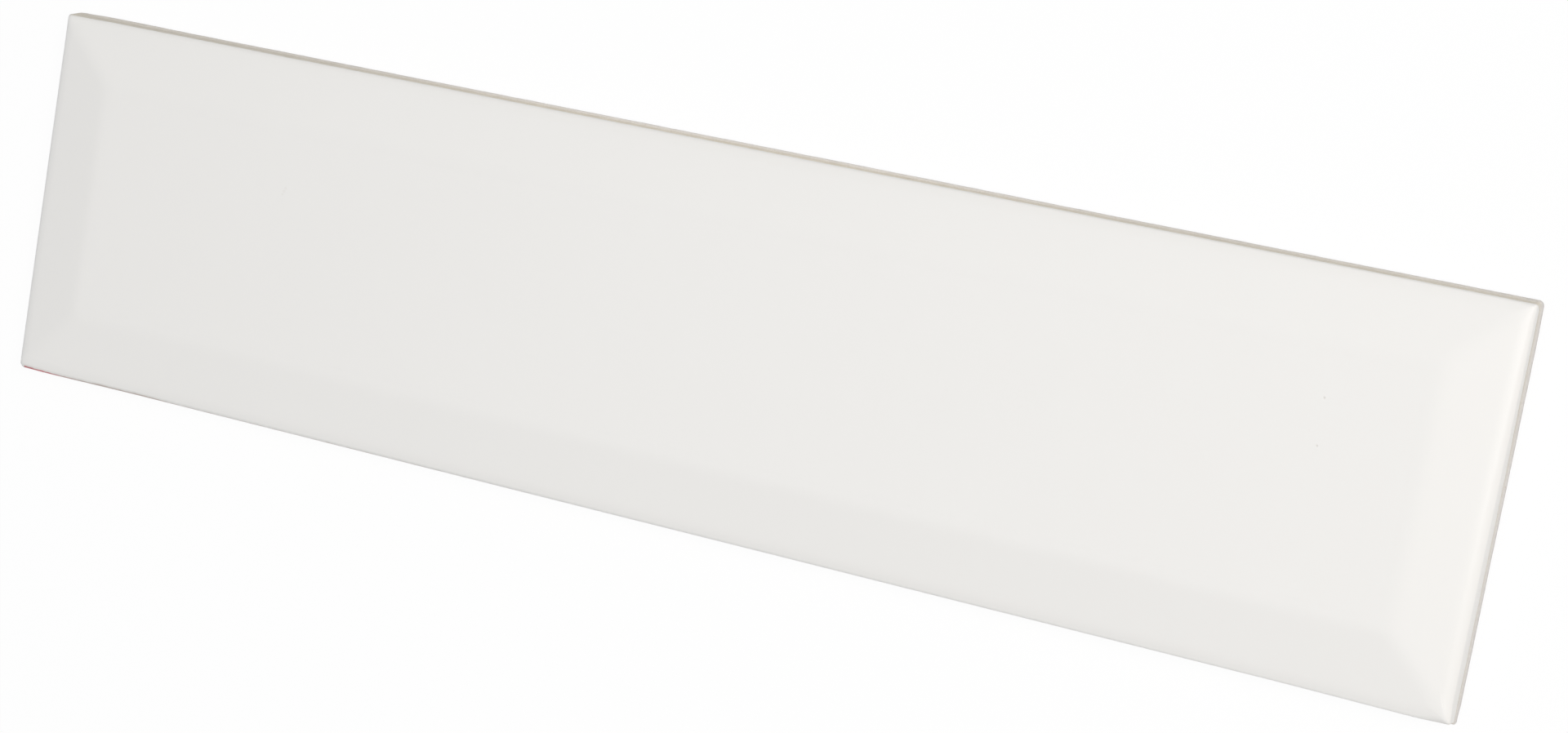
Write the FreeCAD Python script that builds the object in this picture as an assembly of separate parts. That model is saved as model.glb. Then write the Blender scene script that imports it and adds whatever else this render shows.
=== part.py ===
import FreeCAD, Part
import math
import os

# A bevelled subway wall tile, pressed from clay as one piece, glazed on its face and fired.
# It lies face up: X runs along its length, Y across its width and Z out of the glazed face.
# The origin is the middle of the back, in the plane that is bedded on the wall.
# Lengths are in millimetres and slopes in degrees.

# Overall size
tile_length = 300.0
tile_width = 75.0
tile_thickness = 8.0

# Face: a flat panel, four mitred bevels and a rim that rolls over into the edge wall
bevel_width = 12.9  # from the top of the edge wall to the ridge round the panel
bevel_slope = 7.0
ridge_radius = 20.0  # where the bevel meets the panel
shoulder_radius = 10.0  # first, gentle part of the rim's roll
shoulder_slope = 18.0  # where the shoulder gives way to the nose
nose_radius = 1.0  # last, tight part of the rim's roll
corner_radius = 0.5  # along the wall corners and the mitre lines above them

# Edge: a drafted wall that stands back from a wider foot, which sets the joint between tiles
wall_draft = 4.0
ledge_depth = 0.45
ledge_rise = 0.3
foot_height = 2.0
foot_corner_radius = 1.2
back_chamfer = 0.5

# Back: rows of shallow pockets that key the adhesive, inside a flat border
key_border = 6.5
key_pitch = 16.0  # nominal; the rows and columns are spread to fill the field exactly
key_rib = 2.5
key_depth = 0.8
key_draft = 30.0

bevel_angle = math.radians(bevel_slope)
shoulder_angle = math.radians(shoulder_slope)
wall_angle = math.radians(90.0 - wall_draft)


def arc_run(radius, start, end):
    """Horizontal distance that an arc covers while its slope grows from start to end."""
    return radius * (math.sin(end) - math.sin(start))


def arc_drop(radius, start, end):
    """Height that an arc loses while its slope grows from start to end."""
    return radius * (math.cos(start) - math.cos(end))


# Heights and insets of the section that follow from the sizes above
nose_run = arc_run(nose_radius, shoulder_angle, wall_angle)
shoulder_run = arc_run(shoulder_radius, bevel_angle, shoulder_angle)
ledge_top = foot_height + ledge_rise
shoulder_top = tile_thickness - (bevel_width - nose_run - shoulder_run) * math.tan(bevel_angle)
nose_top = shoulder_top - arc_drop(shoulder_radius, bevel_angle, shoulder_angle)
wall_top = nose_top - arc_drop(nose_radius, shoulder_angle, wall_angle)
wall_inset = ledge_depth + (wall_top - ledge_top) * math.tan(math.radians(wall_draft))


def section_point(x, z):
    return FreeCAD.Vector(x, 0.0, z)


def falling_arc(x, z, radius, start, end):
    """Arc that leaves (x, z) at slope start and falls outward until its slope is end."""
    middle = (start + end) / 2
    points = []
    for angle in (start, middle, end):
        points.append(section_point(x + arc_run(radius, start, angle), z - arc_drop(radius, start, angle)))
    return Part.Arc(*points).toShape()


def line(start, end):
    return Part.LineSegment(section_point(*start), section_point(*end)).toShape()


def half_section(half_span):
    """Edges of the tile's section from the middle of its panel round to the middle of its back."""
    ridge = half_span - wall_inset - bevel_width
    ridge_start = ridge - ridge_radius * math.tan(bevel_angle / 2)
    bevel_start = ridge_start + arc_run(ridge_radius, 0.0, bevel_angle)
    bevel_top = tile_thickness - arc_drop(ridge_radius, 0.0, bevel_angle)
    shoulder_start = half_span - wall_inset - nose_run - shoulder_run
    nose_start = half_span - wall_inset - nose_run
    return [
        line((0.0, tile_thickness), (ridge_start, tile_thickness)),
        falling_arc(ridge_start, tile_thickness, ridge_radius, 0.0, bevel_angle),
        line((bevel_start, bevel_top), (shoulder_start, shoulder_top)),
        falling_arc(shoulder_start, shoulder_top, shoulder_radius, bevel_angle, shoulder_angle),
        falling_arc(nose_start, nose_top, nose_radius, shoulder_angle, wall_angle),
        line((half_span - wall_inset, wall_top), (half_span - ledge_depth, ledge_top)),
        line((half_span - ledge_depth, ledge_top), (half_span, foot_height)),
        line((half_span, foot_height), (half_span, back_chamfer)),
        line((half_span, back_chamfer), (half_span - back_chamfer, 0.0)),
        line((half_span - back_chamfer, 0.0), (0.0, 0.0)),
    ]


def section_bar(span, run):
    """Bar of the tile's section, span wide along X and run long along Y, centred on the origin."""
    half = Part.Wire(half_section(span / 2))
    other_half = half.mirror(FreeCAD.Vector(), FreeCAD.Vector(1, 0, 0))
    face = Part.Face(Part.Wire(Part.__sortEdges__(half.Edges + other_half.Edges)))
    face.translate(FreeCAD.Vector(0, -run / 2, 0))
    return face.extrude(FreeCAD.Vector(0, run, 0))


def rounded_block(length, width, height, radius):
    """Block centred on the Z axis with its four upright edges rounded."""
    block = Part.makeBox(length, width, height, FreeCAD.Vector(-length / 2, -width / 2, 0))
    upright = [edge for edge in block.Edges if abs(edge.tangentAt(edge.FirstParameter).z) > 0.5]
    return block.makeFillet(radius, upright)


def at_height(edge, height):
    """True where the edge starts upward from the given height."""
    return abs(edge.BoundBox.ZMin - height) < 1e-4 and edge.BoundBox.ZLength > 1e-4


def pressed_body():
    """Two crossed bars leave the bevels mitred; the foot and the corners are then rounded."""
    overhang = 2 * tile_thickness
    long_bar = section_bar(tile_width, tile_length + overhang)
    long_bar.rotate(FreeCAD.Vector(), FreeCAD.Vector(0, 0, 1), 90)
    cross_bar = section_bar(tile_length, tile_width + overhang)
    foot = rounded_block(tile_length, tile_width, tile_thickness, foot_corner_radius)
    body = long_bar.common(cross_bar).common(foot).removeSplitter().Solids[0]
    corner_edges = []
    for edge in body.Edges:
        box = edge.BoundBox
        if at_height(edge, ledge_top) and box.XLength > 1e-4 and box.YLength > 1e-4:
            corner_edges.append(edge)
    return body.makeFillet(corner_radius, corner_edges)


def key_pocket(length, width):
    """One keying pocket: a shallow tapered recess, widest where it opens at the back."""
    taper = key_depth * math.tan(math.radians(key_draft))
    x, y = length / 2, width / 2
    pocket = Part.makeWedge(-x, 0.0, -y, taper - y, taper - x, x, key_depth, y, y - taper, x - taper)
    return pocket.rotate(FreeCAD.Vector(), FreeCAD.Vector(1, 0, 0), 90)


def key_pockets():
    """The pockets in rows and columns, spread over the field inside the border."""
    field_length = tile_length - 2 * key_border
    field_width = tile_width - 2 * key_border
    columns = round((field_length + key_rib) / key_pitch)
    rows = round((field_width + key_rib) / key_pitch)
    column_pitch = (field_length + key_rib) / columns
    row_pitch = (field_width + key_rib) / rows
    pocket = key_pocket(column_pitch - key_rib, row_pitch - key_rib)
    pockets = []
    for column in range(columns):
        for row in range(rows):
            x = (column - (columns - 1) / 2) * column_pitch
            y = (row - (rows - 1) / 2) * row_pitch
            pockets.append(pocket.translated(FreeCAD.Vector(x, y, 0)))
    return Part.makeCompound(pockets)


def main():
    tile = pressed_body().cut(key_pockets()).Solids[0]
    os.makedirs("parts", exist_ok=True)
    tile.exportStep("parts/wall_tile.step")
    print("wall_tile:", len(tile.Faces), "faces,", round(tile.Volume / 1000, 2), "cm3, edge wall top at",
          round(wall_top, 2), "mm, inset", round(wall_inset, 2), "mm")


main()
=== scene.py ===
# %% [markdown]
# # A bevelled wall tile
# The tile is one piece of pressed clay with a white glaze fired onto its face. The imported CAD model
# gives its place and its true size, so it is loaded first and its box is kept. Everything below is
# built inside that box: X runs along the tile, Y across it and Z out of its glazed face. The side at
# +X is called the right end here, +Y the back, -X the left end and -Y the front.

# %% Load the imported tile
import math

import bmesh
import bpy
from mathutils import Matrix, Vector, noise


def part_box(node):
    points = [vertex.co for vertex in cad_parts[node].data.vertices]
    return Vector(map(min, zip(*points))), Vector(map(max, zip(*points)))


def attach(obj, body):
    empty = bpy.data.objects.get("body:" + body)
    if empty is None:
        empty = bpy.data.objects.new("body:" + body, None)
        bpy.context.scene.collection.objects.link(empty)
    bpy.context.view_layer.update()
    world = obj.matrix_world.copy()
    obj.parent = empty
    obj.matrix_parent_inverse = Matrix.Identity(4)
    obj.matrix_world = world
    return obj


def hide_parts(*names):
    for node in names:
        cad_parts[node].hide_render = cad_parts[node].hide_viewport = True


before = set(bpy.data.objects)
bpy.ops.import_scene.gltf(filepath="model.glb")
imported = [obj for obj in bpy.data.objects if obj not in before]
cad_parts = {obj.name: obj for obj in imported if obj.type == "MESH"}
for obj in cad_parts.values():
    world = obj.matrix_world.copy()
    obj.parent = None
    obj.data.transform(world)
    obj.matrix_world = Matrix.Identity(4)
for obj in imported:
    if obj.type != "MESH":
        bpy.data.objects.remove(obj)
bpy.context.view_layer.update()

MM = 0.001
tile_low, tile_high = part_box("wall_tile")
tile_length, tile_width, tile_thickness = (tile_high - tile_low) / MM
half_length, half_width = tile_length / 2, tile_width / 2
print("CAD tile in mm:", round(tile_length, 2), round(tile_width, 2), round(tile_thickness, 2))

# %% [markdown]
# ## The photograph's camera
# The four straight edges of the tile fix where the camera stood: they were measured on the picture,
# and a pinhole camera was solved from them. A place, a point to aim at and the direction that is up
# in the picture say the same as three angles, and they are easier to read and to change.

# %% Camera
photo_width = 1920
focal_length_pixels = 3566.7
camera_place = Vector((207.568, 69.516, 507.150)) * MM
camera_aim = Vector((18.658, -1.273, 7.996)) * MM
picture_up = Vector((-0.20652, 0.97658, -0.06034))

camera_data = bpy.data.cameras.new("photo_camera")
camera_data.sensor_fit = "HORIZONTAL"
camera_data.sensor_width = 36.0
camera_data.lens = focal_length_pixels / photo_width * camera_data.sensor_width
camera = bpy.data.objects.new("photo_camera", camera_data)
bpy.context.scene.collection.objects.link(camera)
bpy.context.scene.camera = camera

camera_back = (camera_place - camera_aim).normalized()
camera_right = picture_up.cross(camera_back).normalized()
camera_up = camera_back.cross(camera_right)
camera_turn = Matrix((camera_right, camera_up, camera_back)).transposed().to_4x4()
camera.matrix_world = Matrix.Translation(camera_place) @ camera_turn
print("Lens in mm:", round(camera_data.lens, 2))

# %% [markdown]
# ## The section
# A press shapes the tile between two dies, so one section runs round all four sides: a flat panel, a
# bevel, a rim that rolls over, a drafted wall and a slightly wider foot. The same sizes drive the CAD
# solid. Here the section is a list of points, each an inset from the tile's outline and a height above
# its back, so that it can be swept round the tile. A plain sweep would make every side alike, but on
# the real tile the glaze gathered unevenly. So a function gives the section for a nose of any radius,
# a foot that is set back and a wall that is set out.

# %% Sizes of the section, in millimetres and radians
bevel_width = 12.9
bevel_slope = math.radians(7.0)
ridge_radius = 20.0
shoulder_radius = 10.0
shoulder_slope = math.radians(18.0)
shoulder_relief = math.radians(3.0)  # flatter by this for each millimetre that the nose is larger
nose_radius = 1.0
wall_draft = math.radians(4.0)
wall_slope = math.radians(90.0) - wall_draft
ledge_depth = 0.45
ledge_rise = 0.3
foot_height = 2.0
ledge_top = foot_height + ledge_rise
back_chamfer = 0.5


def arc_run(radius, start, end):
    """Horizontal distance that an arc covers while its slope grows from start to end."""
    return radius * (math.sin(end) - math.sin(start))


def arc_drop(radius, start, end):
    """Height that an arc loses while its slope grows from start to end."""
    return radius * (math.cos(start) - math.cos(end))


# %% Heights and insets that follow from a nose's radius
def rim(nose):
    """Slope where the nose starts, runs of the shoulder and the nose, and heights of their starts."""
    slope = shoulder_slope - shoulder_relief * (nose - nose_radius)
    shoulder_run = arc_run(shoulder_radius, bevel_slope, slope)
    nose_run = arc_run(nose, slope, wall_slope)
    shoulder_top = tile_thickness - (bevel_width - nose_run - shoulder_run) * math.tan(bevel_slope)
    nose_top = shoulder_top - arc_drop(shoulder_radius, bevel_slope, slope)
    return slope, shoulder_run, nose_run, shoulder_top, nose_top


def top_of_wall(nose):
    """Height at which the nose ends and the wall starts."""
    slope, *_, nose_top = rim(nose)
    return nose_top - arc_drop(nose, slope, wall_slope)


wall_top = top_of_wall(nose_radius)
wall_inset = ledge_depth + (wall_top - ledge_top) * math.tan(wall_draft)
ridge_inset = wall_inset + bevel_width + ridge_radius * math.tan(bevel_slope / 2)
print("Top of the wall under a plain nose, in mm: height", round(wall_top, 3),
      "inset", round(wall_inset, 3))

# %% Points of the section, from the edge of the panel out and down to the back
ridge_steps, bevel_steps, shoulder_steps, nose_steps = 8, 6, 8, 12
wall_steps, ledge_steps, foot_steps, chamfer_steps = 6, 2, 3, 2


def roll(inset, height, radius, start, end, steps):
    """Points of an arc that leaves (inset, height) at slope start and falls outward to slope end."""
    points = []
    for step in range(1, steps + 1):
        slope = start + (end - start) * step / steps
        points.append((inset - arc_run(radius, start, slope), height - arc_drop(radius, start, slope)))
    return points


def straight(start, end, steps):
    """Points of a straight run, without its first point."""
    points = []
    for step in range(1, steps + 1):
        part = step / steps
        points.append((start[0] + (end[0] - start[0]) * part, start[1] + (end[1] - start[1]) * part))
    return points


def smooth_step(low, high, value):
    """0 at low, 1 at high and a smooth rise between; low may be the larger of the two."""
    part = min(max((value - low) / (high - low), 0.0), 1.0)
    return part * part * (3.0 - 2.0 * part)


def side_section(nose, recess=0.0, flare=0.0):
    """Section with a nose of this radius, its foot set back by recess and its wall set out by flare."""
    slope, shoulder_run, nose_run, shoulder_top, nose_top = rim(nose)
    face = [(ridge_inset, tile_thickness)]
    face += roll(*face[-1], ridge_radius, 0.0, bevel_slope, ridge_steps)
    face += straight(face[-1], (wall_inset + nose_run + shoulder_run, shoulder_top), bevel_steps)
    face += roll(*face[-1], shoulder_radius, bevel_slope, slope, shoulder_steps)
    face += roll(*face[-1], nose, slope, wall_slope, nose_steps)
    face += straight(face[-1], (ledge_depth, ledge_top), wall_steps)
    points = []
    for inset, height in face:
        points.append((inset - flare * smooth_step(ridge_inset, wall_inset, inset), height))
    points += straight(points[-1], (recess, foot_height), ledge_steps)
    points += straight(points[-1], (recess, back_chamfer), foot_steps)
    points += straight(points[-1], (recess + back_chamfer, 0.0), chamfer_steps)
    return points


plain_section = side_section(nose_radius)
print("Section points:", len(plain_section))

# %% [markdown]
# ## How the sides differ
# On the real tile the nose is tight along the back and the front, rounder at the left end, and it
# swells along the right end, where the glaze ran. The foot is set back a little in places, and the wall
# bows by a tenth of a millimetre or two. Sculpting could show that, but nobody could read or change it
# later. So each size is a function of how far along its side a place is, from 0 to 1, anticlockwise.

# %% Sizes that change along a side
right_nose_least, right_nose_gain, right_nose_rate = 1.05, 1.75, 1.1
left_nose_radius = 1.6


def changing(base, *stretches):
    """A size along a side: base, and an amount more past each stretch (amount, start, end)."""
    def size(part):
        return base + sum(amount * smooth_step(start, end, part) for amount, start, end in stretches)
    return size


def right_nose(part):
    """Nose radius along the right end: full at the front corner (0), least at the back corner (1)."""
    growth = math.sin(math.pi / 2 * min(right_nose_rate * (1.0 - part), 1.0))
    return right_nose_least + right_nose_gain * growth


back_nose = changing(0.5, (0.7, 0.05, 0.95))
left_nose = changing(left_nose_radius)
front_nose = changing(1.2, (-0.6, 0.0, 1.0))
right_recess = changing(0.03, (0.06, 0.6, 0.4), (0.12, 0.04, 0.012), (0.09, 0.93, 1.0))
back_recess = changing(0.06, (0.06, 0.4, 0.25), (0.03, 0.65, 0.8), (-0.07, 0.9, 0.97), (0.12, 0.98, 0.995))
front_recess = changing(0.0, (0.16, 0.95, 1.0))
back_flare = changing(0.0, (0.12, 0.98, 1.0))
front_flare = changing(-0.05, (0.18, 0.1, 0.01), (-0.04, 0.4, 0.6), (0.2, 0.89, 0.995))
unchanged = changing(0.0)
print("Nose along the right end in mm:", [round(right_nose(part / 4), 2) for part in range(5)])

# %% Sections at stations round the tile
corner_noses = [0.8, 1.5, 1.6, 1.8]  # back right, back left, front left, front right
long_side = {"length": tile_length, "steps": 300, "reach": 6.0}
short_end = {"length": tile_width, "steps": 75, "reach": 3.0}


def stations(number, nose_at, recess_at, flare_at, length, steps, reach):
    """Sections at even steps along a side. Within reach of a corner, its nose becomes the corner's."""
    sections = []
    for step in range(steps + 1):
        part = step / steps
        nose = nose_at(part)
        nose += (corner_noses[number - 1] - nose) * smooth_step(reach, 0.0, part * length)
        nose += (corner_noses[number] - nose) * smooth_step(reach, 0.0, (1.0 - part) * length)
        sections.append(side_section(nose, recess_at(part), flare_at(part)))
    return sections


sides = [
    (Vector((1, 0, 0)), stations(0, right_nose, right_recess, unchanged, **short_end)),
    (Vector((0, 1, 0)), stations(1, back_nose, back_recess, back_flare, **long_side)),
    (Vector((-1, 0, 0)), stations(2, left_nose, unchanged, unchanged, **short_end)),
    (Vector((0, -1, 0)), stations(3, front_nose, front_recess, front_flare, **long_side)),
]
print("Sections round the tile:", sum(len(sections) for out, sections in sides))

# %% [markdown]
# ## Rings round the tile
# Each section point becomes a ring: a rectangle with rounded corners. A bevel modifier can't follow
# the glaze, which pools over the mitre lines and is thin at the rim, but a ring can have a corner
# radius of its own: wide on the bevels, tight on the rim and the wall, and round again on the foot.
# The press also left the panel a little off centre, so rings drift with it as they near the panel.

# %% One ring
mitre_radius, mitre_run, corner_steps = 1.8, 2.6, 8
rim_corner_radii = [0.45, 0.7, 1.0, 0.4]  # in the order of the corner noses, as are the next two
ledge_corner_radii = [0.45, 0.25, 0.8, 0.4]
foot_corner_radii = [1.0, 1.5, 1.2, 0.3]
panel_drift = Vector((0.0, 0.42, 0.0))
half_size = Vector((half_length, half_width, 0.0))


def corner_radius(number, index):
    """Radius of a corner at this point of the section."""
    inset, height = plain_section[index]
    rim_radius, ledge_radius = rim_corner_radii[number], ledge_corner_radii[number]
    if height < ledge_top:
        part = min(inset / ledge_depth, 1.0) if height >= foot_height else 0.0
        return foot_corner_radii[number] + (ledge_radius - foot_corner_radii[number]) * part
    if height < wall_top:
        return ledge_radius + (rim_radius - ledge_radius) * (height - ledge_top) / (wall_top - ledge_top)
    return rim_radius + (mitre_radius - rim_radius) * smooth_step(wall_inset, wall_inset + mitre_run, inset)


def ring_points(index):
    """Rounded rectangle through this point of each section, from the front of the right end round."""
    drift = panel_drift * min(max((plain_section[index][0] - wall_inset) / bevel_width, 0.0), 1.0)
    points = []
    for number, (out, sections) in enumerate(sides):
        along = Vector((-out.y, out.x, 0.0))
        half_out, half_along = abs(out.dot(half_size)), abs(along.dot(half_size))
        inset_before = sides[number - 1][1][-1][index][0]
        inset_after = sides[(number + 1) % 4][1][0][index][0]
        radius, steps = corner_radius(number, index), len(sections) - 1
        low = inset_before + corner_radius(number - 1, index) - half_along
        high = half_along - inset_after - radius
        for step in range(steps):
            inset, height = sections[step][index]
            place = out * (half_out - inset) + along * (low + (high - low) * step / steps)
            points.append(place + Vector((0.0, 0.0, height)))
        inset, height = sections[-1][index]
        centre = out * (half_out - inset - radius) + along * high + Vector((0.0, 0.0, height))
        for step in range(corner_steps):
            angle = math.pi / 2 * step / corner_steps
            points.append(centre + (out * math.cos(angle) + along * math.sin(angle)) * radius)
    return [point + drift for point in points]


print("Points in a ring:", len(ring_points(0)))

# %% [markdown]
# ## Uneven clay
# The glazed face is true, but the bare edge isn't: the press leaves a ragged arris, the foot is rubbed
# in the kiln and in the box, and it has a few nicks, the deepest at the back right corner. The unevenness
# only ever takes clay away, so the tile stays inside its CAD box. Displacement by a texture would do too,
# but noise at fixed places is simpler to keep off the glaze, and it gives the same edge on every run.

# %% Wear of the bare edge
ragged_size, ragged_depth, ragged_flatness = 2.6, 0.07, 2.0
bare_from, bare_fully = wall_top + 0.1, wall_top - 0.5
arris_low, arris_high = 1.3, ledge_top + 0.4
core_margin = 4.0
foot_nicks = [  # the place, the spread and the depth of each
    (Vector((147.4, 37.5)), 1.3, 0.3),
    (Vector((142.8, 37.5)), 0.9, 0.16),
    (Vector((-150.0, 12.0)), 1.2, 0.2),
    (Vector((61.0, -37.5)), 1.6, 0.22),
    (Vector((-84.0, 37.5)), 1.1, 0.15),
    (Vector((150.0, -21.5)), 1.0, 0.2),
]


def worn(point):
    """The point, moved in from the outline by the wear of the edge there."""
    lump = noise.noise(Vector((point.x, point.y, point.z * ragged_flatness)) / ragged_size)
    depth = smooth_step(bare_from, bare_fully, point.z) * ragged_depth * (0.5 + 0.5 * lump)
    at_arris = smooth_step(arris_low, foot_height, point.z) * smooth_step(arris_high, ledge_top, point.z)
    for place, spread, bite in foot_nicks:
        depth += at_arris * bite * smooth_step(spread, 0.0, (point.xy - place).length)
    core_x = max(min(point.x, half_length - core_margin), core_margin - half_length)
    core_y = max(min(point.y, half_width - core_margin), core_margin - half_width)
    inward = Vector((core_x, core_y, point.z)) - point
    return point + inward.normalized() * depth


print("Nicks:", len(foot_nicks), "the deepest in mm:", max(bite for place, spread, bite in foot_nicks))

# %% Loft the rings, with the panel closed down to a spine
tile_mesh = bmesh.new()
panel_steps = 6
spine_reach = half_length - half_width
same_place = 1e-6  # metres; spine points nearer than this become one


def join_rings(inner, outer):
    """Faces between two rings that have the same number of points."""
    count = len(inner)
    for start in range(count):
        end = (start + 1) % count
        tile_mesh.faces.new((inner[start], outer[start], outer[end], inner[end]))


def spine_point(point):
    """The point of the panel's spine that a point on its edge is drawn towards."""
    return Vector((max(min(point.x, spine_reach), -spine_reach), panel_drift.y, tile_thickness))


panel_edge = ring_points(0)
rings = []
for step in range(panel_steps):
    drawn = [spine_point(point).lerp(point, step / panel_steps) for point in panel_edge]
    rings.append([tile_mesh.verts.new(point * MM) for point in drawn])
for index in range(len(plain_section)):
    rings.append([tile_mesh.verts.new(worn(point) * MM) for point in ring_points(index)])
for inner, outer in zip(rings, rings[1:]):
    join_rings(inner, outer)
back_outline = rings[-1]
bmesh.ops.remove_doubles(tile_mesh, verts=rings[0], dist=same_place)
print("Faces of the face and the edge:", len(tile_mesh.faces))

# %% [markdown]
# ## The keyed back
# Nobody sees the back on the wall, but it holds the tile there: the die presses rows of shallow pockets
# into it, and the adhesive grips their sloped walls. Each pocket is a few rounded rings and a floor.
# One face with holes could fill the flat lattice between them, but such a fill is fragile, so each
# pocket gets a square cell of flat clay, and the border outside the cells is stitched to the edge.

# %% One pocket
key_border, key_pitch, key_rib, key_depth = 6.5, 16.0, 2.5, 0.8
key_draft = math.radians(30.0)
key_taper = key_depth * math.tan(key_draft)
key_corner_radius, pocket_turns = 1.6, 6
field_length, field_width = tile_length - 2 * key_border, tile_width - 2 * key_border
columns = round((field_length + key_rib) / key_pitch)
rows = round((field_width + key_rib) / key_pitch)
column_pitch, row_pitch = (field_length + key_rib) / columns, (field_width + key_rib) / rows
pocket_profile = [  # how far in from the mouth each ring is, and how high
    (0.0, 0.0),
    (0.05, 0.04),
    (0.12, 0.15),
    (key_taper * 0.8, key_depth - 0.12),
    (key_taper + 0.05, key_depth - 0.03),
    (key_taper + 0.2, key_depth),
]


def pocket_ring(middle, shrink, height):
    """Ring of a pocket, drawn in by shrink from its mouth: four rounded corners, anticlockwise."""
    core_x = (column_pitch - key_rib) / 2 - key_corner_radius
    core_y = (row_pitch - key_rib) / 2 - key_corner_radius
    reach = key_corner_radius - shrink
    ring = []
    for quarter, (side_x, side_y) in enumerate(((1, 1), (-1, 1), (-1, -1), (1, -1))):
        for turn in range(pocket_turns):
            angle = math.pi / 2 * (quarter + turn / (pocket_turns - 1))
            corner = Vector((side_x * core_x, side_y * core_y, height))
            place = middle + corner + Vector((math.cos(angle), math.sin(angle), 0.0)) * reach
            ring.append(tile_mesh.verts.new(place * MM))
    return ring


print("Pocket in mm:", round(column_pitch - key_rib, 2), round(row_pitch - key_rib, 2), key_depth)

# %% Rows of pockets, each in its cell
first_cell = Vector((-columns * column_pitch / 2, -rows * row_pitch / 2, 0.0))


def lattice_place(column, row):
    """Place in the lattice of cells; whole numbers are its crossings."""
    return first_cell + Vector((column * column_pitch, row * row_pitch, 0.0))


grid = [[tile_mesh.verts.new(lattice_place(column, row) * MM) for row in range(rows + 1)]
        for column in range(columns + 1)]
for column in range(columns):
    for row in range(rows):
        middle = lattice_place(column + 0.5, row + 0.5)
        pocket = [pocket_ring(middle, shrink, height) for shrink, height in pocket_profile]
        for outer, inner in zip(pocket, pocket[1:]):
            join_rings(outer, inner)
        tile_mesh.faces.new(pocket[-1])
        mouth = pocket[0]
        near, far = grid[column], grid[column + 1]
        corners = [far[row + 1], near[row + 1], near[row], far[row]]
        for quarter, corner in enumerate(corners):
            arc = mouth[quarter * pocket_turns:(quarter + 1) * pocket_turns]
            for first, second in zip(arc, arc[1:]):
                tile_mesh.faces.new((first, second, corner))
            next_first = mouth[(quarter + 1) * pocket_turns % len(mouth)]
            tile_mesh.faces.new((arc[-1], next_first, corners[(quarter + 1) % 4], corner))
print("Pockets:", columns * rows)

# %% Border between the cells and the edge
cell_edge = [grid[columns][row] for row in range(rows)]
cell_edge += [grid[column][rows] for column in range(columns, 0, -1)]
cell_edge += [grid[0][row] for row in range(rows, 0, -1)]
cell_edge += [grid[column][0] for column in range(columns)]


def round_places(counts):
    """Places round the tile of sides that have these numbers of steps: 0 to 4, then endlessly far."""
    places = [side + step / count for side, count in enumerate(counts) for step in range(count)]
    return places + [float(len(counts)), math.inf]


cell_places = round_places([rows, columns, rows, columns])
edge_places = round_places([len(sections) - 1 + corner_steps for out, sections in sides])
edge_step = cell_step = 0
while edge_step < len(back_outline) or cell_step < len(cell_edge):
    on_edge = back_outline[edge_step % len(back_outline)]
    on_cells = cell_edge[cell_step % len(cell_edge)]
    if edge_places[edge_step + 1] <= cell_places[cell_step + 1]:
        edge_step += 1
        following = back_outline[edge_step % len(back_outline)]
    else:
        cell_step += 1
        following = cell_edge[cell_step % len(cell_edge)]
    tile_mesh.faces.new((on_edge, following, on_cells))
print("Border faces:", edge_step + cell_step)

# %% [markdown]
# ## One closed piece
# The parts of the mesh share their rings, so the tile is closed. Normals are turned outward and shading
# is smooth, with sharp edges only where the real clay has an arris: the ledge, the foot and the pockets.

# %% Make the tile object
arris_angle = math.radians(28.0)
bmesh.ops.recalc_face_normals(tile_mesh, faces=tile_mesh.faces)
mesh = bpy.data.meshes.new("glazed_tile")
tile_mesh.to_mesh(mesh)
open_edges = sum(1 for edge in tile_mesh.edges if not edge.is_manifold)
tile_mesh.free()
mesh.shade_smooth()
mesh.set_sharp_from_angle(angle=arris_angle)
tile = bpy.data.objects.new("glazed_tile", mesh)
bpy.context.scene.collection.objects.link(tile)
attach(tile, "root")
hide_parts("wall_tile")
print("Tile faces:", len(mesh.polygons), "open edges:", open_edges)

# %% [markdown]
# ## Shader maths as Python
# A finish is easier to follow as a line of arithmetic than as a web of nodes. This small class wraps
# a node's output, and each operator on it adds the Math node that does the same.


# %% Nodes from expressions
class Wire:
    """A node's output. Operators on it add Math nodes to its tree."""

    def __init__(self, tree, output=None):
        self.tree = tree
        self.output = output

    def node(self, kind, settings, sockets, result=0):
        """Adds a node: its settings first, then the value or the link of each socket."""
        made = self.tree.nodes.new(kind)
        for name, setting in settings.items():
            setattr(made, name, setting)
        for name, value in sockets.items():
            if isinstance(value, Wire):
                self.tree.links.new(value.output, made.inputs[name])
            else:
                made.inputs[name].default_value = value
        return Wire(self.tree, made.outputs[result] if made.outputs else None)

    def math(self, operation, first, second):
        return self.node("ShaderNodeMath", {"operation": operation}, {0: first, 1: second})

    def __add__(self, other):
        return self.math("ADD", self, other)

    def __sub__(self, other):
        return self.math("SUBTRACT", self, other)

    def __rsub__(self, other):
        return self.math("SUBTRACT", other, self)

    def __mul__(self, other):
        return self.math("MULTIPLY", self, other)

    def __abs__(self):
        return self.node("ShaderNodeMath", {"operation": "ABSOLUTE"}, {0: self})

    __radd__ = __add__
    __rmul__ = __mul__

    def step(self, low, high):
        """0 at low, 1 at high and a smooth rise between; low may be the larger of the two."""
        ends = {"Value": self, "From Min": low, "From Max": high}
        return self.node("ShaderNodeMapRange", {"interpolation_type": "SMOOTHSTEP"}, ends)

    def mix(self, first, second):
        """A colour: first where this wire is 0, second where it is 1."""
        return self.node("ShaderNodeMix", {"data_type": "RGBA"}, {0: self, 6: first, 7: second}, 2)


def colour(red, green, blue):
    return (red, green, blue, 1.0)


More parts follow.
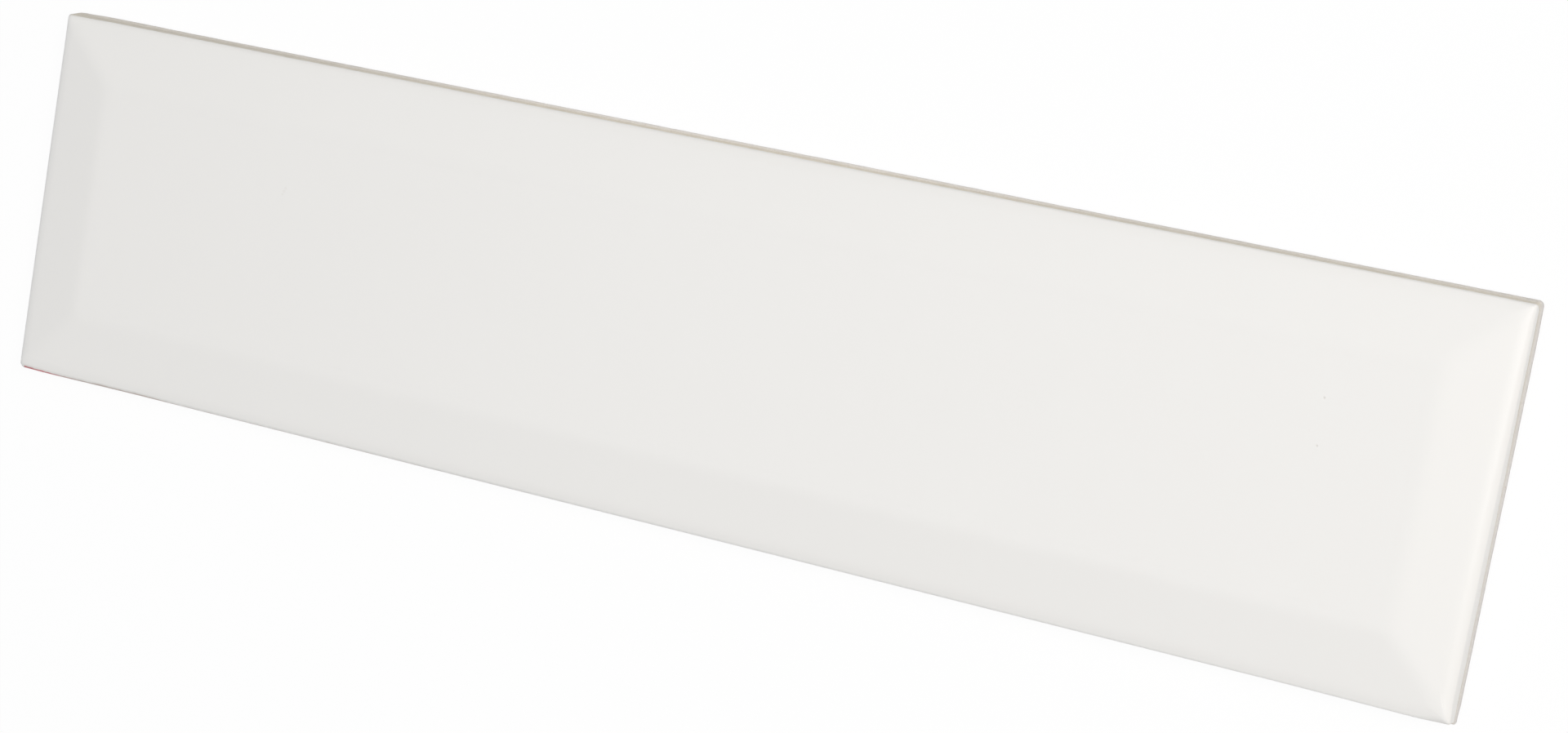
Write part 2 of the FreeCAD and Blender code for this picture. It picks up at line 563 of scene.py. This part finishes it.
def new_tree(owner):
    """An empty node tree for a material or a world."""
    owner.use_nodes = True
    owner.node_tree.nodes.clear()
    return Wire(owner.node_tree)


# %% [markdown]
# ## Places on the tile
# Object coordinates in millimetres say where on the tile a point is, and they stay put in any view.
# An image texture would need an unwrapped mesh, but coordinates and noise need none. The insets from
# the four sides make a soft mask for each, and the masks of the two ends stop at the mitre lines.

# %% Coordinates and grain
material = bpy.data.materials.new("glazed_clay")
finish = new_tree(material)
object_place = finish.node("ShaderNodeTexCoord", {}, {}, "Object")
place = finish.node("ShaderNodeVectorMath", {"operation": "SCALE"}, {0: object_place, "Scale": 1.0 / MM})
x, y, z = [finish.node("ShaderNodeSeparateXYZ", {}, {"Vector": place}, axis) for axis in "XYZ"]


def grain(size, detail=2.0):
    """Noise from 0 to 1 with lumps of about this size in millimetres."""
    sockets = {"Vector": place, "Scale": 1.0 / size, "Detail": detail}
    return finish.node("ShaderNodeTexNoise", {}, sockets, "Fac")


def waver(size, reach):
    """Noise with lumps of about this size, which swings about 0 by half of reach at most."""
    return (grain(size) - 0.5) * reach


def growing(along, *stretches):
    """A sum of amounts, each of which grows from nothing to full over its stretch (amount, start, end)."""
    return sum(along.step(start, end) * amount for amount, start, end in stretches)


# %% Masks for the four sides
end_fade, side_fade, mitre_fade = (2.6, 1.8), (1.9, 1.4), (-0.05, 0.15)
at_end = ((half_width - abs(y)) - (half_length - abs(x))).step(*mitre_fade)
right_end = (half_length - x).step(*end_fade) * at_end
left_end = (half_length + x).step(*end_fade) * at_end
back_side = (half_width - y).step(*side_fade) * (1 - at_end)
front_side = (half_width + y).step(*side_fade)
print("Nodes for places:", len(material.node_tree.nodes))

# %% [markdown]
# ## Where the glaze ends
# Glaze is poured over the face and runs off at the rim, so its lower edge wanders. At the right end it
# ran down the wall, nearly to the ledge. Along the back and the front it is drawn up towards the left,
# and it folds down again over the front left corner. A painted mask could show all that, but it would
# be a picture. Here each cause moves the height at which the glaze ends, by an amount in millimetres.

# %% The glaze mask
glaze_overlap, glaze_edge = 0.05, (-0.06, 0.1)
right_calm = 1 - right_end * 0.6
wander = waver(9.0, 0.5) + waver(1.3, 0.3)
right_run = right_end * growing(y, (2.3, 37.3, 35.5), (0.65, 26.0, 4.0))
left_drop = left_end * (wall_top - top_of_wall(left_nose_radius))
front_draw = front_side * growing(x, (0.4, 10.0, -60.0), (0.28, -104.0, -122.0), (-0.8, -147.7, -148.6))
back_draw = back_side * (growing(x, (0.25, 110.0, 20.0), (0.32, 0.0, -100.0), (0.2, -138.0, -146.0)) - 0.45)
glaze_end = wall_top - glaze_overlap + wander * right_calm - left_drop - right_run + front_draw + back_draw
above_glaze_end = z - glaze_end
glaze = above_glaze_end.step(*glaze_edge)
print("Nodes with the glaze mask:", len(material.node_tree.nodes))

# %% [markdown]
# ## Bare clay
# The fired body is a pale beige earthenware. Close up it is a grain of lighter and darker bits with a
# few brown specks, and the foot is greyer from the kiln. Noise at the size of the real grain does that.
# The clay is also darker towards both ends of the back, greyer at the right end, and darker and pinker
# along the left of the front wall, below the glaze. Each tint is one more mix over the ones before it.

# %% Clay colour
clay_dark, clay_light = colour(0.71, 0.64, 0.52), colour(0.84, 0.78, 0.68)
clay_kiln, clay_speck = colour(0.72, 0.70, 0.685), colour(0.40, 0.29, 0.20)
clay_dusk, clay_grey = colour(0.56, 0.53, 0.475), colour(0.56, 0.545, 0.53)
clay_pink_dark = colour(0.58, 0.49, 0.46)
fine_grain = grain(0.28, 3.0)
clay_body = (fine_grain * 0.6 + grain(4.0) * 0.4).step(0.3, 0.7).mix(clay_dark, clay_light)
kiln_grey = z.step(2.6, 1.9) * 0.8
# Darker towards both ends of the back, greyer at the right end, and darker and pinker along the left of the
# front wall.
dusk = back_side * growing(x, (0.5, -20.0, -115.0), (0.36, 20.0, 100.0))
end_grey = right_end * 0.6
front_left_tint = front_side * x.step(60.0, -40.0) * z.step(3.4, 5.0) * 0.8
specks = grain(0.55, 1.0).step(0.73, 0.79) * 0.4
clay_edge = dusk.mix(kiln_grey.mix(clay_body, clay_kiln), clay_dusk)
clay = specks.mix(front_left_tint.mix(end_grey.mix(clay_edge, clay_grey), clay_pink_dark), clay_speck)
print("Nodes with the clay:", len(material.node_tree.nodes))

# %% [markdown]
# ## A factory mark and flaws in the glaze
# The left corner of the front side carries a dab of red marking colour, and the glaze has two pinholes
# and a faint scuff. They are small, but a tile without any flaw looks drawn. The dab has a ragged
# outline and is broken up by the clay's grain, as colour on a dry body is. The pinholes and the scuff
# are soft spots round fixed points.

# %% Red dab
dab_colour = colour(0.68, 0.20, 0.23)
dab_ragged = waver(2.2, 3.0) + waver(0.6, 1.2)
dab_x, dab_z = x + dab_ragged, z + dab_ragged * 0.8
dab_length = dab_x.step(-133.0, -144.0) * dab_x.step(-148.2, -147.6)
dab_area = dab_length * dab_z.step(1.2, 2.4) * front_side * (1 - glaze)
dab_cover = (grain(0.9) * 0.6 + fine_grain * 0.4).step(0.32, 0.50) * 0.9
dab = dab_area * dab_cover
print("Nodes with the dab:", len(material.node_tree.nodes))


# %% Pinholes and scuff
def spot(spot_x, spot_y, radius):
    """1 at a point of the panel, falling to 0 at the radius."""
    centre = {0: place, 1: (spot_x, spot_y, tile_thickness)}
    distance = finish.node("ShaderNodeVectorMath", {"operation": "DISTANCE"}, centre, "Value")
    return distance.step(radius, radius * 0.4)


pinholes = spot(117.64, 14.16, 0.27) + spot(118.0, 5.71, 0.25)
scuff = spot(-92.0, 10.2, 0.4) + spot(-91.75, 10.85, 0.45) + spot(-91.5, 11.5, 0.4)
print("Nodes with the flaws:", len(material.node_tree.nodes))

# %% [markdown]
# ## Glaze
# The glaze is a warm white with a satin gloss. It is a touch thinner and creamier at its lower edge,
# and duller near the front right corner. Where it ran down the upright wall of the right end, its colour
# is painted greyer: the run is real, its grey is painted shade. It has the slight orange-peel of a fired
# glass. One Principled shader carries both glaze and clay, and the mask decides between their colours,
# their roughness and their relief.

# %% Glaze colour
glaze_white, glaze_thin = colour(0.859, 0.845, 0.820), colour(0.75, 0.73, 0.69)
run_glaze_painted_shade, pinhole_brown = colour(0.76, 0.754, 0.738), colour(0.50, 0.44, 0.36)
thinness = above_glaze_end.step(0.5, 0.0) * (0.5 - back_side * 0.3)
clouds = grain(30.0) * 0.05
# Painted shade: the glaze that ran down the upright right-end wall is tinted greyer, as that wall is in
# shade.
run_down_painted_shade = right_end * z.step(wall_top, wall_top - 0.5) * 0.8
flaws = pinholes * 0.27 + scuff * 0.08
glaze_even = (thinness + clouds).mix(glaze_white, glaze_thin)
glaze_colour = flaws.mix(run_down_painted_shade.mix(glaze_even, run_glaze_painted_shade), pinhole_brown)
skin = dab.mix(glaze.mix(clay, glaze_colour), dab_colour)
print("Nodes with the glaze colour:", len(material.node_tree.nodes))

# %% Roughness, relief in millimetres and the finished material
clay_roughness, glaze_roughness, glaze_thickness = 0.88, 0.38, 0.08
dull_corner = x.step(144.0, 147.0) * y.step(0.0, -38.0)
dulling = grain(6.0) * 0.06 + scuff * 0.1 + dull_corner * 0.2
roughness = clay_roughness - glaze * (clay_roughness - glaze_roughness - dulling)
clay_relief = fine_grain * 0.10 + grain(0.7, 1.0) * 0.05
glaze_relief = grain(5.0) * 0.02 + grain(0.9) * 0.003 + glaze_thickness
relief = (1 - glaze) * clay_relief + glaze * glaze_relief - pinholes * 0.04
bump = finish.node("ShaderNodeBump", {}, {"Strength": 1.0, "Distance": MM, "Height": relief})
shader = finish.node("ShaderNodeBsdfPrincipled", {}, {
    "Base Color": skin, "Roughness": roughness, "Normal": bump, "IOR": 1.5})
finish.node("ShaderNodeOutputMaterial", {}, {"Surface": shader})
mesh.materials.append(material)
print("Nodes in the finish:", len(material.node_tree.nodes))

# %% [markdown]
# ## Floor and background
# The tile lies on a plain white floor. To the camera and in reflections, most of the floor's brightness
# is a steady white, and the rest takes the light, so that the tile keeps a faint shadow. The world does
# the same beyond the floor's edge, and lights the tile evenly from all round.

# %% White floor
floor_reach, floor_gap = 3.0, 0.05 * MM
steady_share = 0.92
white, floor_white = colour(1.0, 1.0, 1.0), colour(0.97, 0.97, 0.97)
floor_mesh = bpy.data.meshes.new("floor")
floor_signs = ((-1, -1), (1, -1), (1, 1), (-1, 1))
floor_corners = [(sign_x * floor_reach, sign_y * floor_reach, -floor_gap) for sign_x, sign_y in floor_signs]
floor_mesh.from_pydata(floor_corners, [], [(0, 1, 2, 3)])
floor = bpy.data.objects.new("floor", floor_mesh)
bpy.context.scene.collection.objects.link(floor)


def seen(tree):
    """1 for rays from the camera and for reflected or refracted ones, 0 for light on its way."""
    kinds = ("Is Camera Ray", "Is Glossy Ray", "Is Transmission Ray")
    return sum(tree.node("ShaderNodeLightPath", {}, {}, kind) for kind in kinds).step(0.0, 1.0)


floor_material = bpy.data.materials.new("white_floor")
floor_nodes = new_tree(floor_material)
lit = floor_nodes.node("ShaderNodeBsdfDiffuse", {}, {"Color": floor_white})
steady = floor_nodes.node("ShaderNodeEmission", {}, {"Color": white, "Strength": 1.0})
shown_white = seen(floor_nodes) * steady_share
floor_mix = floor_nodes.node("ShaderNodeMixShader", {}, {0: shown_white, 1: lit, 2: steady})
floor_nodes.node("ShaderNodeOutputMaterial", {}, {"Surface": floor_mix})
floor_mesh.materials.append(floor_material)
print("Floor in m:", 2 * floor_reach, "square")

# %% White world that gives a soft light
world_tint, world_strength = colour(0.95, 0.97, 1.0), 0.28
world = bpy.data.worlds.new("studio")
bpy.context.scene.world = world
world_nodes = new_tree(world)
around = world_nodes.node("ShaderNodeBackground", {}, {"Color": world_tint, "Strength": world_strength})
backdrop = world_nodes.node("ShaderNodeBackground", {}, {"Color": white, "Strength": 1.0})
world_mix = world_nodes.node("ShaderNodeMixShader", {}, {0: seen(world_nodes), 1: around, 2: backdrop})
world_nodes.node("ShaderNodeOutputWorld", {}, {"Surface": world_mix})
bpy.context.scene.view_settings.view_transform = "Standard"
print("World strength:", world_strength)

# %% [markdown]
# ## Studio light
# The right bevel is the brightest and the left one the darkest, and the panel brightens from left to
# right. So the main light is a large, slightly warm one on the right, a little towards the back. A weak
# cool one overhead, a little to the left, keeps the left end from going dull. A sun lamp would light both
# ends alike, but an area light falls off along the tile and gives soft edges to the shadow.


# %% Soft lights
def soft_light(name, place, size, watts, tint):
    """A square area light at a place, turned towards the tile."""
    light = bpy.data.lights.new(name, "AREA")
    light.size = size
    light.energy = watts
    light.color = tint
    lamp = bpy.data.objects.new(name, light)
    lamp.location = place
    lamp.rotation_euler = Vector(place).to_track_quat("Z", "Y").to_euler()
    bpy.context.scene.collection.objects.link(lamp)
    return lamp


warm, cool = (1.0, 0.968, 0.932), (0.86, 0.93, 1.0)
key_light = soft_light("key_light", place=(1.0, 0.35, 1.6), size=1.2, watts=25.8, tint=warm)
overhead_light = soft_light("overhead_light", place=(-0.35, -0.05, 1.45), size=0.9, watts=4.3, tint=cool)
print("Light in watts:", round(key_light.data.energy, 1), round(overhead_light.data.energy, 1))
